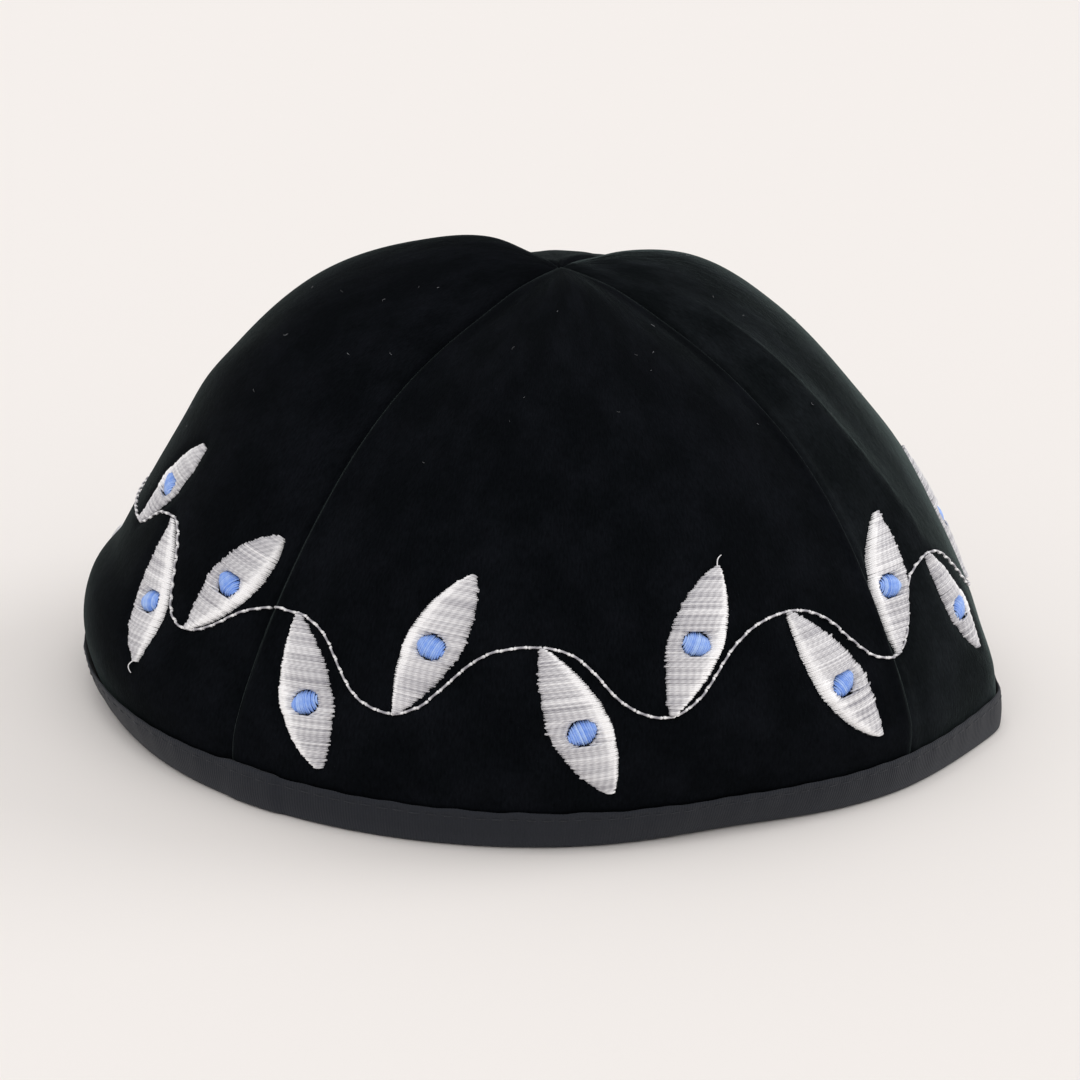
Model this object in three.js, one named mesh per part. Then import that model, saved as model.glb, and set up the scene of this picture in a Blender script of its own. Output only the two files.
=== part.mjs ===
// Four-panel velvet kippah, resting on its rim. Millimetres, +Z up, front towards -Y.
// Four cloth panels meet at the crown, a folded tape binds the rim, and a band of
// embroidered leaves, each with a stitched dot, runs round the cap between them.
import * as THREE from 'three';

// ---- driving dimensions ----
const rimHalfWidth = 81.4;
const rimHalfDepth = 77.6;
const crownHeight = 81.7;
const crownLean = { x: 1.3, y: 4.6, power: 1.5 };
const wallCurve = { radiusPower: 0.92, heightPower: 1.1 };
const wall = 1.6;
const gap = 0.3;

const panelColumns = 18;
const panelRows = 22;
const crownLevel = 0.996;

const tape = {
  thickness: 0.7, fold: 1.3, middle: 4.2, outsideHeight: 7.6, insideHeight: 6.6, bevel: 0.35,
};

// The rim is pulled out to a corner on the right, where the cloth was creased, and is
// flatter at the front right and the left. Each bend fades out up the cap.
const rimBends = [
  { azimuth: 80, reach: 8.6, width: 11.5, roundness: 2.2 },
  { azimuth: 29, reach: -16, width: 11.5, roundness: 14 },
  { azimuth: -66, reach: -2.1, width: 9, roundness: 10 },
];
const bendFade = 0.18;
const crease = { depth: 1.1, azimuth: 66, drift: 13, width: 5 };

// Sections up the cap. level is 0 at the rim and 1 at the crown. seam moves the whole
// section out, and the other columns say how far each panel puffs out between its seams.
const sections = [
  { level: 0.00, seam: 0.0, front: -2.2, right: 0.1, back: 0.0, left: 1.2 },
  { level: 0.10, seam: 2.3, front: -0.9, right: 0.6, back: 0.9, left: 4.5 },
  { level: 0.16, seam: 1.8, front: 0.2, right: 0.9, back: 1.4, left: 5.6 },
  { level: 0.22, seam: 0.8, front: 0.9, right: 1.8, back: 1.9, left: 3.8 },
  { level: 0.36, seam: -0.9, front: 2.2, right: 2.7, back: 2.8, left: 4.6 },
  { level: 0.52, seam: -2.0, front: 3.0, right: 2.8, back: 3.6, left: 8.1 },
  { level: 0.68, seam: -2.8, front: 3.2, right: 5.5, back: 4.4, left: 10.8 },
  { level: 0.82, seam: -2.8, front: 2.7, right: 7.2, back: 2.4, left: 9.8 },
  { level: 0.92, seam: -1.3, front: 1.6, right: 4.1, back: 1.4, left: 6.7 },
  { level: 1.00, seam: 0.0, front: 0.0, right: 0.0, back: 0.0, left: 0.0 },
];

// Azimuths run from the front towards the right, in degrees. peak is how far across the
// panel it puffs most, and sharpness under 1 makes a fuller panel with deeper seams.
const panels = [
  { name: 'front', from: -41.5, to: 56.5, peak: 0.56, sharpness: 1.2 },
  { name: 'right', from: 56.5, to: 141, peak: 0.54, sharpness: 0.85 },
  { name: 'back', from: 141, to: 239, peak: 0.25, sharpness: 1.0 },
  { name: 'left', from: 239, to: 318.5, peak: 0.4, sharpness: 0.85 },
];

// Two kinds of leaf take turns round the cap: one hangs down, the next stands up.
const leafKinds = [
  { direction: -1, dotShare: 0.57 },
  { direction: 1, dotShare: 0.48 },
];

// rise is where a leaf starts above the rim, and lean is how far its tip swings towards the
// right. They vary a little, as the embroidery does, and two leaves that lie in creased
// cloth are drawn in and have a width of their own.
const leaves = [
  { azimuth: -37, rise: 36.5, lean: 26, length: 28.5 },
  { azimuth: -19, rise: 23, lean: 20, length: 27.5 },
  { azimuth: 0, rise: 37, lean: 28, length: 29 },
  { azimuth: 18, rise: 24.5, lean: 23, length: 27.5 },
  { azimuth: 38, rise: 39.5, lean: 32, length: 30.5 },
  { azimuth: 57.6, rise: 25.5, lean: 19, length: 26.5 },
  { azimuth: 71, rise: 39.5, lean: 20, length: 23, width: 7.4 },
  { azimuth: 88, rise: 25.5, lean: 25, length: 27.5 },
  { azimuth: 104, rise: 38.5, lean: 26, length: 28 },
  { azimuth: 121, rise: 25.5, lean: 25, length: 27.5 },
  { azimuth: 144.5, rise: 38.5, lean: 26, length: 28 },
  { azimuth: 163, rise: 25, lean: 25, length: 27.5 },
  { azimuth: 181.5, rise: 38, lean: 26, length: 28 },
  { azimuth: 200, rise: 25, lean: 25, length: 27.5 },
  { azimuth: 218.5, rise: 38.5, lean: 26, length: 28 },
  { azimuth: 241.5, rise: 26, lean: 25, length: 27 },
  { azimuth: 253, rise: 39, lean: 24, length: 28 },
  { azimuth: 280.5, rise: 38, lean: 25, length: 23, width: 7.6 },
  { azimuth: 291.5, rise: 44, lean: 23, length: 28 },
  { azimuth: 305.5, rise: 27.5, lean: 26, length: 25 },
];
const leaf = { width: 10.4, thickness: 0.7, rows: 12, fullness: 0.72 };
const dot = { diameter: 5, thickness: 0.6, corners: 12 };
const climbTableSize = { rows: 200, topLevel: 0.7 };
const tiny = 0.01;

const finishes = {
  velvet: { color: 0x0b0c10, roughness: 0.95 },
  tape: { color: 0x27282d, roughness: 0.8 },
  satin: { color: 0xc6c4cd, roughness: 0.45 },
  blue: { color: 0x7ea7ed, roughness: 0.5 },
};

// ---- the cap's surface ----
const radians = THREE.MathUtils.degToRad;

// A smooth curve through one column of the sections table.
function sectionValue(column, level) {
  let i = 0;
  while (i < sections.length - 2 && level > sections[i + 1].level) i += 1;
  const slopeAt = (k) => {
    const before = sections[Math.max(k - 1, 0)];
    const after = sections[Math.min(k + 1, sections.length - 1)];
    return (after[column] - before[column]) / (after.level - before.level);
  };
  const start = sections[i];
  const end = sections[i + 1];
  const step = end.level - start.level;
  const t = (level - start.level) / step;
  const blend = t * t * (3 - 2 * t);
  const startPull = t * (1 - t) * (1 - t) * step * slopeAt(i);
  const endPull = t * t * (t - 1) * step * slopeAt(i + 1);
  return start[column] + (end[column] - start[column]) * blend + startPull + endPull;
}

function panelAt(azimuth) {
  const first = panels[0].from;
  const turned = THREE.MathUtils.euclideanModulo(azimuth - first, 360) + first;
  return { panel: panels.find((p) => turned <= p.to), turned };
}

// The plain cap without puffs: radius, height and the way out of the cloth.
function plainSection(azimuth, level) {
  const side = Math.sin(radians(azimuth)) / rimHalfWidth;
  const front = Math.cos(radians(azimuth)) / rimHalfDepth;
  let rim = 1 / Math.hypot(side, front);
  for (const bend of rimBends) {
    const turn = THREE.MathUtils.euclideanModulo(azimuth - bend.azimuth + 180, 360) - 180;
    const away = Math.hypot(turn, bend.roundness);
    rim += bend.reach * Math.exp(-away / bend.width - level / bendFade);
  }
  const slope = level * Math.PI / 2;
  const radius = rim * Math.cos(slope) ** wallCurve.radiusPower;
  const height = crownHeight * Math.sin(slope) ** wallCurve.heightPower;
  const out = new THREE.Vector2(Math.cos(slope) * crownHeight, Math.sin(slope) * rimHalfWidth);
  return { radius, height, out: out.normalize() };
}

function puffAt(azimuth, level) {
  const { panel, turned } = panelAt(azimuth);
  const share = (turned - panel.from) / (panel.to - panel.from);
  const half = share < panel.peak ? share / panel.peak : (1 - share) / (1 - panel.peak);
  const across = Math.sin(Math.max(half, 0) * Math.PI / 2) ** panel.sharpness;
  let puff = sectionValue('seam', level) + sectionValue(panel.name, level) * across;
  if (panel.name === 'right') {
    const line = crease.azimuth + crease.drift * (1 - level) ** 2;
    const near = Math.exp(-(((turned - line) / crease.width) ** 2));
    puff += crease.depth * near * Math.sin(Math.PI * level);
  }
  return puff;
}

// A point on the cap, moved out of the cloth by lift (into it when lift is negative).
function capPoint(azimuth, level, lift) {
  const { radius, height, out } = plainSection(azimuth, level);
  const distance = puffAt(azimuth, level) + lift;
  const reach = Math.max(radius + distance * out.x, 0);
  const z = height + distance * out.y;
  const lean = (Math.max(z, 0) / crownHeight) ** crownLean.power;
  const x = reach * Math.sin(radians(azimuth)) + crownLean.x * lean;
  const y = -reach * Math.cos(radians(azimuth)) + crownLean.y * lean;
  return new THREE.Vector3(x, y, z);
}

function levelAtHeight(z) {
  return Math.asin((z / crownHeight) ** (1 / wallCurve.heightPower)) * 2 / Math.PI;
}

// A point near the rim, at an exact height and a distance out from the cloth's face.
function rimPoint(azimuth, z, outward) {
  const point = capPoint(azimuth, levelAtHeight(z), 0);
  point.x += outward * Math.sin(radians(azimuth));
  point.y -= outward * Math.cos(radians(azimuth));
  point.z = z;
  return point;
}

// ---- closed bodies ----
function bodyFrom(vertices, triangles) {
  const geometry = new THREE.BufferGeometry().setFromPoints(vertices);
  geometry.setIndex(triangles.flat());
  geometry.computeVertexNormals();
  return geometry;
}

// A sheet given as flat triangles becomes a closed body with an inner and an outer face.
// The flat triangles run anticlockwise as seen from outside.
function thickSheet(innerFace, outerFace, flatTriangles) {
  const count = innerFace.length;
  const triangles = [];
  const edges = new Map();
  for (const [a, b, c] of flatTriangles) {
    if (a === b || b === c || c === a) continue;
    triangles.push([a + count, b + count, c + count], [a, c, b]);
    for (const [p, q] of [[a, b], [b, c], [c, a]]) {
      if (!edges.delete(`${q},${p}`)) edges.set(`${p},${q}`, [p, q]);
    }
  }
  for (const [p, q] of edges.values()) {
    triangles.push([p, q, q + count], [p, q + count, p + count]);
  }
  return bodyFrom([...innerFace, ...outerFace], triangles);
}

function panelGeometry(panel) {
  const innerFace = [];
  const outerFace = [];
  const triangles = [];
  const lowest = levelAtHeight(tape.fold + gap);
  for (let row = 0; row <= panelRows; row += 1) {
    const level = lowest + (crownLevel - lowest) * row / panelRows;
    const seamGap = THREE.MathUtils.radToDeg(gap / 2 / plainSection(panel.from, level).radius);
    const from = panel.from + seamGap;
    const to = panel.to - seamGap;
    for (let column = 0; column <= panelColumns; column += 1) {
      const azimuth = from + (to - from) * column / panelColumns;
      innerFace.push(capPoint(azimuth, level, -wall));
      outerFace.push(capPoint(azimuth, level, 0));
      if (row < panelRows && column < panelColumns) {
        const here = row * (panelColumns + 1) + column;
        const above = here + panelColumns + 1;
        triangles.push([here, here + 1, above + 1], [here, above + 1, above]);
      }
    }
  }
  return thickSheet(innerFace, outerFace, triangles);
}

// The tape is folded over the cloth's edge: one leg outside, one inside, a flat foot below.
function tapeGeometry() {
  const outside = gap + tape.thickness;
  const inside = -wall - gap;
  const { thickness, bevel, fold, middle, outsideHeight, insideHeight } = tape;
  const profile = [
    { out: outside - bevel, z: 0 },
    { out: outside, z: bevel },
    { out: outside, z: middle },
    { out: outside, z: outsideHeight - bevel },
    { out: outside - bevel, z: outsideHeight },
    { out: gap, z: outsideHeight - bevel },
    { out: gap, z: middle },
    { out: gap, z: fold },
    { out: inside, z: fold },
    { out: inside, z: middle },
    { out: inside, z: insideHeight - bevel },
    { out: inside - thickness / 2, z: insideHeight },
    { out: inside - thickness, z: insideHeight - bevel },
    { out: inside - thickness, z: middle },
    { out: inside - thickness, z: bevel },
    { out: inside - thickness + bevel, z: 0 },
  ];
  const vertices = [];
  const triangles = [];
  const sides = profile.length;
  const stations = panels.length * panelColumns;
  for (let station = 0; station < stations; station += 1) {
    const panel = panels[Math.floor(station / panelColumns)];
    const share = (station % panelColumns) / panelColumns;
    const azimuth = panel.from + (panel.to - panel.from) * share;
    const next = (station + 1) % stations;
    profile.forEach(({ out, z }, side) => {
      vertices.push(rimPoint(azimuth, z, out));
      const a = station * sides + side;
      const b = next * sides + side;
      const c = next * sides + (side + 1) % sides;
      const d = station * sides + (side + 1) % sides;
      triangles.push([a, b, c], [a, c, d]);
    });
  }
  return bodyFrom(vertices, triangles);
}

// ---- embroidery ----
// How far it is up the cloth from the rim to each level.
function climbTable(azimuth) {
  const table = [{ climb: 0, level: 0 }];
  let before = capPoint(azimuth, 0, 0);
  for (let i = 1; i <= climbTableSize.rows; i += 1) {
    const level = climbTableSize.topLevel * i / climbTableSize.rows;
    const point = capPoint(azimuth, level, 0);
    table.push({ climb: table[i - 1].climb + point.distanceTo(before), level });
    before = point;
  }
  return table;
}

function levelAtClimb(table, climb) {
  const i = Math.max(table.findIndex((entry) => entry.climb > climb), 1);
  const share = (climb - table[i - 1].climb) / (table[i].climb - table[i - 1].climb);
  return table[i - 1].level + share * (table[i].level - table[i - 1].level);
}

// Gives a function from a leaf's own frame (along it, across it, lift off the cloth) to a point.
function leafFrame({ azimuth, rise, lean: tilt }, direction) {
  const lean = radians(tilt);
  const table = climbTable(azimuth);
  return (along, across, lift) => {
    const right = along * Math.sin(lean) + across * direction * Math.cos(lean);
    const climb = rise + along * direction * Math.cos(lean) - across * Math.sin(lean);
    const level = levelAtClimb(table, climb);
    const turn = THREE.MathUtils.radToDeg(right / plainSection(azimuth, level).radius);
    return capPoint(azimuth + turn, level, lift);
  };
}

function leafGeometry(place, kind) {
  const frame = leafFrame(place, kind.direction);
  const centre = place.length * kind.dotShare;
  const hole = dot.diameter / 2 + gap;
  const fullWidth = place.width ?? leaf.width;
  const innerFace = [];
  const outerFace = [];
  const flatTriangles = [];
  const stations = [];
  for (let row = 0; row <= leaf.rows; row += 1) {
    const along = place.length * row / leaf.rows;
    if (Math.abs(along - centre) > hole + gap) stations.push(along);
  }
  const holeSteps = dot.corners / 2;
  for (let step = 0; step <= holeSteps; step += 1) {
    stations.push(centre - hole * Math.cos(Math.PI * step / holeSteps));
  }
  stations.sort((a, b) => a - b);
  const addPoint = (along, across) => {
    innerFace.push(frame(along, across, gap));
    outerFace.push(frame(along, across, gap + leaf.thickness));
    return innerFace.length - 1;
  };
  const rows = stations.map((along) => {
    const share = along / place.length;
    const halfWidth = fullWidth / 2 * Math.sin(Math.PI * share) ** leaf.fullness;
    const halfHole = Math.sqrt(Math.max(hole ** 2 - (along - centre) ** 2, 0));
    if (halfWidth < tiny) {
      const tip = addPoint(along, 0);
      return [tip, tip, tip, tip];
    }
    const left = addPoint(along, -halfWidth);
    const innerLeft = addPoint(along, -halfHole);
    const innerRight = halfHole < tiny ? innerLeft : addPoint(along, halfHole);
    return [left, innerLeft, innerRight, addPoint(along, halfWidth)];
  });
  for (let i = 0; i < rows.length - 1; i += 1) {
    for (const side of [0, 2]) {
      const [a, b] = rows[i].slice(side);
      const [d, c] = rows[i + 1].slice(side);
      flatTriangles.push([a, b, c], [a, c, d]);
    }
  }
  return thickSheet(innerFace, outerFace, flatTriangles);
}

function dotGeometry(place, kind) {
  const frame = leafFrame(place, kind.direction);
  const centre = place.length * kind.dotShare;
  const innerFace = [frame(centre, 0, gap)];
  const outerFace = [frame(centre, 0, gap + dot.thickness)];
  const flatTriangles = [];
  for (let corner = 0; corner < dot.corners; corner += 1) {
    const turn = 2 * Math.PI * corner / dot.corners;
    const along = centre + dot.diameter / 2 * Math.sin(turn);
    const across = dot.diameter / 2 * Math.cos(turn);
    innerFace.push(frame(along, across, gap));
    outerFace.push(frame(along, across, gap + dot.thickness));
    flatTriangles.push([0, corner + 1, (corner + 1) % dot.corners + 1]);
  }
  return thickSheet(innerFace, outerFace, flatTriangles);
}

// ---- the assembly ----
const kippah = new THREE.Group();

function add(name, geometry, finish) {
  const mesh = new THREE.Mesh(geometry, new THREE.MeshStandardMaterial(finish));
  mesh.name = name;
  kippah.add(mesh);
}

for (const panel of panels) {
  add(`panel_${panel.name}`, panelGeometry(panel), finishes.velvet);
}
add('rim_binding', tapeGeometry(), finishes.tape);
leaves.forEach((place, i) => {
  const number = String(i + 1).padStart(2, '0');
  const kind = leafKinds[i % leafKinds.length];
  add(`leaf_${number}`, leafGeometry(place, kind), finishes.satin);
  add(`dot_${number}`, dotGeometry(place, kind), finishes.blue);
});

// The origin is on the resting surface, under the middle of the cap's outline.
const middle = new THREE.Box3().setFromObject(kippah).getCenter(new THREE.Vector3());
kippah.position.set(-middle.x, -middle.y, 0);

export default kippah;
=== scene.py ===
# Four-panel velvet kippah with an embroidered band of leaves, resting on a pale table.
import math

import bpy
import numpy as np
from mathutils import Matrix, Vector


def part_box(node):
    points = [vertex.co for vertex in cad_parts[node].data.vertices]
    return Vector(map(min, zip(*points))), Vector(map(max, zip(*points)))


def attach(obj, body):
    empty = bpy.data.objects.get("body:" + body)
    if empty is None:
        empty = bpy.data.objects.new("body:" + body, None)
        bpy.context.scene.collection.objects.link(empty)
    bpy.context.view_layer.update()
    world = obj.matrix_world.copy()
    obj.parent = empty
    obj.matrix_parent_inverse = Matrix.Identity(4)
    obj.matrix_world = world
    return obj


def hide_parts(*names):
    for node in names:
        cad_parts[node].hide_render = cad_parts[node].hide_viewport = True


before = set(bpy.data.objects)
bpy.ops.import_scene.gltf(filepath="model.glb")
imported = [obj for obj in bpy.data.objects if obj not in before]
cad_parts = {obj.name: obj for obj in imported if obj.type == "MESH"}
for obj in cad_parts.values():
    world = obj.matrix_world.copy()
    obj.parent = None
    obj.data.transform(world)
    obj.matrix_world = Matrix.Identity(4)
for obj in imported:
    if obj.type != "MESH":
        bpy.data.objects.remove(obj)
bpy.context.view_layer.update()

mm = 0.001
random = np.random.default_rng(18)

# The cap's form, in millimetres. Azimuths run from the front towards the right, in degrees.
cap = {
    "rimHalfWidth": 81.4, "rimHalfDepth": 77.6, "crownHeight": 81.7,
    "leanX": 1.3, "leanY": 4.6, "leanPower": 1.5,
    "radiusPower": 0.92, "heightPower": 1.1,
    "wall": 1.6,
    # The rim is pulled out to a corner on the right and is flatter at the front right and left.
    "rimBends": [
        {"azimuth": 80, "reach": 8.6, "width": 11.5, "roundness": 2.2},
        {"azimuth": 29, "reach": -16, "width": 11.5, "roundness": 14},
        {"azimuth": -66, "reach": -2.1, "width": 9, "roundness": 10},
    ],
    "bendFade": 0.18,
    "creaseDepth": 1.1, "creaseAzimuth": 66, "creaseDrift": 13, "creaseWidth": 5,
}

# Sections up the cap, from the rim (level 0) to the crown (level 1): how far each seam and
# each panel's middle stands out from the plain form.
sections = {
    "level": [0.00, 0.10, 0.16, 0.22, 0.36, 0.52, 0.68, 0.82, 0.92, 1.00],
    "seam": [0.0, 2.3, 1.8, 0.8, -0.9, -2.0, -2.8, -2.8, -1.3, 0.0],
    "front": [-2.2, -0.9, 0.2, 0.9, 2.2, 3.0, 3.2, 2.7, 1.6, 0.0],
    "right": [0.1, 0.6, 0.9, 1.8, 2.7, 2.8, 5.5, 7.2, 4.1, 0.0],
    "back": [0.0, 0.9, 1.4, 1.9, 2.8, 3.6, 4.4, 2.4, 1.4, 0.0],
    "left": [1.2, 4.5, 5.6, 3.8, 4.6, 8.1, 10.8, 9.8, 6.7, 0.0],
}

# peak is how far across the panel it puffs most. seamRidge is true where the seam
# allowance is pressed under this panel and lifts its edge.
panels = [
    {"name": "front", "from": -41.5, "to": 56.5, "peak": 0.56, "sharpness": 1.2},
    {"name": "right", "from": 56.5, "to": 141.0, "peak": 0.54, "sharpness": 0.85},
    {"name": "back", "from": 141.0, "to": 239.0, "peak": 0.25, "sharpness": 1.0},
    {"name": "left", "from": 239.0, "to": 318.5, "peak": 0.4, "sharpness": 0.85},
]
for panel in panels:
    panel["seamRidge"] = panel["name"] in ("front", "back")
    # The right panel takes the paler velvet copy, whose pile colours are painted light.
    panel["napTurned"] = panel["name"] == "right"


def sectionValue(column, level):
    levels = np.array(sections["level"])
    values = np.array(sections[column])
    before = np.maximum(np.arange(len(levels)) - 1, 0)
    after = np.minimum(np.arange(len(levels)) + 1, len(levels) - 1)
    slopes = (values[after] - values[before]) / (levels[after] - levels[before])
    i = np.clip(np.searchsorted(levels, level) - 1, 0, len(levels) - 2)
    step = levels[i + 1] - levels[i]
    t = (level - levels[i]) / step
    curve = values[i] + (values[i + 1] - values[i]) * t * t * (3 - 2 * t)
    return curve + step * t * (1 - t) * (slopes[i] * (1 - t) - slopes[i + 1] * t)


def bump(distance, width):
    return np.exp(-(distance / width) ** 2)


def plainSection(azimuth, level):
    angle = np.radians(azimuth)
    rim = 1 / np.hypot(np.sin(angle) / cap["rimHalfWidth"], np.cos(angle) / cap["rimHalfDepth"])
    for bend in cap["rimBends"]:
        turn = (azimuth - bend["azimuth"] + 180) % 360 - 180
        away = np.hypot(turn, bend["roundness"])
        rim = rim + bend["reach"] * np.exp(-away / bend["width"] - level / cap["bendFade"])
    slope = level * math.pi / 2
    radius = rim * np.cos(slope) ** cap["radiusPower"]
    height = cap["crownHeight"] * np.sin(slope) ** cap["heightPower"]
    outX = np.cos(slope) * cap["crownHeight"]
    outZ = np.sin(slope) * cap["rimHalfWidth"]
    length = np.hypot(outX, outZ)
    return radius, height, outX / length, outZ / length


def panelPuff(panel, azimuth, level):
    share = (azimuth - panel["from"]) / (panel["to"] - panel["from"])
    half = np.where(share < panel["peak"], share / panel["peak"], (1 - share) / (1 - panel["peak"]))
    across = np.sin(np.clip(half, 0, 1) * math.pi / 2) ** panel["sharpness"]
    puff = sectionValue("seam", level) + sectionValue(panel["name"], level) * across
    if panel["name"] == "right":
        line = cap["creaseAzimuth"] + cap["creaseDrift"] * (1 - level) ** 2
        crease = cap["creaseDepth"] * bump(azimuth - line, cap["creaseWidth"])
        puff = puff + crease * np.sin(math.pi * level)
    return puff


# Small folds and dents in the cloth, in millimetres out of the cap's plain surface.
folds = {
    "seamRoll": 0.7, "seamRollWidth": 0.8,
    "ridge": 0.5, "ridgeAt": 1.9, "ridgeWidth": 1.3,
    "valley": 0.6, "valleyAt": 2.6, "valleyWidth": 2.2,
    "creasePleat": 0.3, "creasePleatApart": 1.5, "creasePleatWidth": 0.7,
    "leftFold": 0.5, "leftFoldLevel": 0.5, "leftFoldRise": 0.006, "leftFoldWidth": 0.045,
    "leftFoldAzimuth": 272, "leftFoldSpread": 17,
    "ripple": 0.22,
}


def clothDetail(panel, azimuth, level):
    radius = plainSection(azimuth, level)[0]
    fromSeam = np.radians(np.minimum(azimuth - panel["from"], panel["to"] - azimuth)) * radius
    detail = -folds["seamRoll"] * bump(fromSeam, folds["seamRollWidth"]) * np.clip(level / 0.3, 0.4, 1)
    fade = np.clip(radius / 12, 0, 1) * np.clip(level / 0.3, 0.25, 1)
    if panel["seamRidge"]:
        ridge = bump(fromSeam - folds["ridgeAt"], folds["ridgeWidth"])
        detail = detail + folds["ridge"] * ridge * fade
    else:
        valley = bump(fromSeam - folds["valleyAt"], folds["valleyWidth"])
        detail = detail - folds["valley"] * valley * fade
    if panel["name"] == "right":
        line = cap["creaseAzimuth"] + cap["creaseDrift"] * (1 - level) ** 2
        fromCrease = np.abs(np.radians(azimuth - line) * radius)
        pleat = bump(fromCrease - folds["creasePleatApart"] / 2, folds["creasePleatWidth"])
        detail = detail + folds["creasePleat"] * pleat * np.sin(math.pi * level)
    if panel["name"] == "left":
        line = folds["leftFoldLevel"] + folds["leftFoldRise"] * (azimuth - folds["leftFoldAzimuth"])
        spread = bump(azimuth - folds["leftFoldAzimuth"], folds["leftFoldSpread"])
        detail = detail + folds["leftFold"] * bump(level - line, folds["leftFoldWidth"]) * spread
    angle = np.radians(azimuth)
    ripple = np.sin(7 * angle + 5 * level) * np.sin(9 * level + 2 * angle)
    ripple = ripple + 0.6 * np.sin(13 * angle - 11 * level)
    return detail + folds["ripple"] * ripple * np.sin(math.pi * np.clip(level, 0, 1)) * fade


def panelAt(azimuth):
    first = panels[0]["from"]
    turned = (azimuth - first) % 360 + first
    for panel in panels:
        if turned <= panel["to"]:
            return panel, turned
    return panels[-1], turned


def capPoint(panel, azimuth, level, lift):
    radius, height, outX, outZ = plainSection(azimuth, level)
    distance = panelPuff(panel, azimuth, level) + lift
    reach = np.maximum(radius + distance * outX, 0)
    z = height + distance * outZ
    lean = (np.maximum(z, 0) / cap["crownHeight"]) ** cap["leanPower"]
    x = reach * np.sin(np.radians(azimuth)) + cap["leanX"] * lean
    y = -reach * np.cos(np.radians(azimuth)) + cap["leanY"] * lean
    return np.stack([x, y, z], axis=-1)


def levelAtHeight(z):
    return np.arcsin((z / cap["crownHeight"]) ** (1 / cap["heightPower"])) * 2 / math.pi


# Points round the rim at one height, a distance out from the cloth's face.
def rimOutline(z, outward):
    points = []
    for azimuth in np.arange(-180, 180, 0.5):
        panel, turned = panelAt(azimuth)
        point = capPoint(panel, turned, levelAtHeight(z), 0.0)
        way = np.array([math.sin(math.radians(azimuth)), -math.cos(math.radians(azimuth)), 0])
        points.append(point + outward * way)
    return np.array(points)


# The frame puts the middle of the cap over the origin, so the form moves by the same amount.
rimLow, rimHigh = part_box("rim_binding")
outline = rimOutline(rimHigh[2] / mm, 1.0)
formMiddle = (outline.min(axis=0) + outline.max(axis=0)) / 2
shift = np.array([(rimLow[i] + rimHigh[i]) / 2 / mm - formMiddle[i] for i in (0, 1)] + [0])
print("form set over the frame, shift in mm", shift.round(2))


def toFrame(points):
    return (points + shift) * mm


# Meshes are grids of points, rows by columns. where is each face corner's row and column.
def gridFaces(rows, columns, closeRows=False, closeColumns=False):
    rowStarts = np.arange(rows - (not closeRows))
    columnStarts = np.arange(columns - (not closeColumns))
    r, c = np.meshgrid(rowStarts, columnStarts, indexing="ij")
    corners = [(r, c), (r, c + 1), (r + 1, c + 1), (r + 1, c)]
    index = np.stack([(a % rows) * columns + b % columns for a, b in corners], axis=-1)
    where = np.stack([np.stack([a, b], axis=-1) for a, b in corners], axis=-2)
    return index.reshape(-1, 4), where.reshape(-1, 4, 2)


def makePiece(name, points, faces, uvs, materials, nodes, materialIndex=None, tones=None):
    mesh = bpy.data.meshes.new(name)
    mesh.from_pydata(points.reshape(-1, 3).tolist(), [], faces.tolist())
    mesh.uv_layers.new(name="cloth").data.foreach_set("uv", uvs.astype(np.float32).ravel())
    mesh.polygons.foreach_set("use_smooth", np.ones(len(faces), dtype=bool))
    for material in materials:
        mesh.materials.append(material)
    if materialIndex is not None:
        mesh.polygons.foreach_set("material_index", materialIndex.astype(np.int32))
    if tones is not None:
        tone = mesh.attributes.new("tone", "FLOAT", "POINT")
        tone.data.foreach_set("value", tones.astype(np.float32).ravel())
    mesh.update()
    piece = bpy.data.objects.new(name, mesh)
    bpy.context.scene.collection.objects.link(piece)
    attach(piece, "root")
    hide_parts(*nodes)
    return piece


# A thread is a tube with six sides, which two quads close at each end.
tubeSides = 6


# paths is threads by steps by xyz in metres, and outs the way off the cloth.
def threadTubes(paths, outs, radius, flatten=1.0):
    along = np.gradient(paths, axis=1)
    along /= np.linalg.norm(along, axis=-1, keepdims=True) + 1e-12
    side = np.cross(along, outs)
    side /= np.linalg.norm(side, axis=-1, keepdims=True) + 1e-12
    up = np.cross(side, along)
    turns = np.arange(tubeSides) * 2 * math.pi / tubeSides
    ring = np.cos(turns)[:, None] * side[..., None, :]
    ring = ring - flatten * np.sin(turns)[:, None] * up[..., None, :]
    points = paths[..., None, :] + ring * radius[..., None, None]
    threads, steps = paths.shape[:2]
    index, where = gridFaces(steps, tubeSides, closeColumns=True)
    length = np.zeros((threads, steps))
    length[:, 1:] = np.cumsum(np.linalg.norm(np.diff(paths, axis=1), axis=-1), axis=1) / mm
    starts = np.arange(threads)[:, None, None] * steps * tubeSides
    roundShare = np.broadcast_to(where[..., 1] / tubeSides, (threads,) + where.shape[:2])
    uv = np.stack([length[:, where[..., 0]], roundShare], axis=-1)
    ends = np.array([[3, 2, 1, 0], [5, 4, 3, 0]])
    last = (steps - 1) * tubeSides + ends[:, ::-1]
    caps = np.concatenate([ends, last])
    sides = (index[None] + starts).reshape(-1, 4)
    faces = np.concatenate([sides, (caps[None] + starts).reshape(-1, 4)])
    capUv = np.zeros((threads * len(caps), 4, 2))
    return points, faces, np.concatenate([uv.reshape(-1, 4, 2), capUv])


# Colours are sRGB hex; shaders want linear.
def colour(hexCode):
    channels = [int(hexCode[i:i + 2], 16) / 255 for i in (1, 3, 5)]
    return tuple(c / 12.92 if c <= 0.04045 else ((c + 0.055) / 1.055) ** 2.4 for c in channels) + (1.0,)


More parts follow.
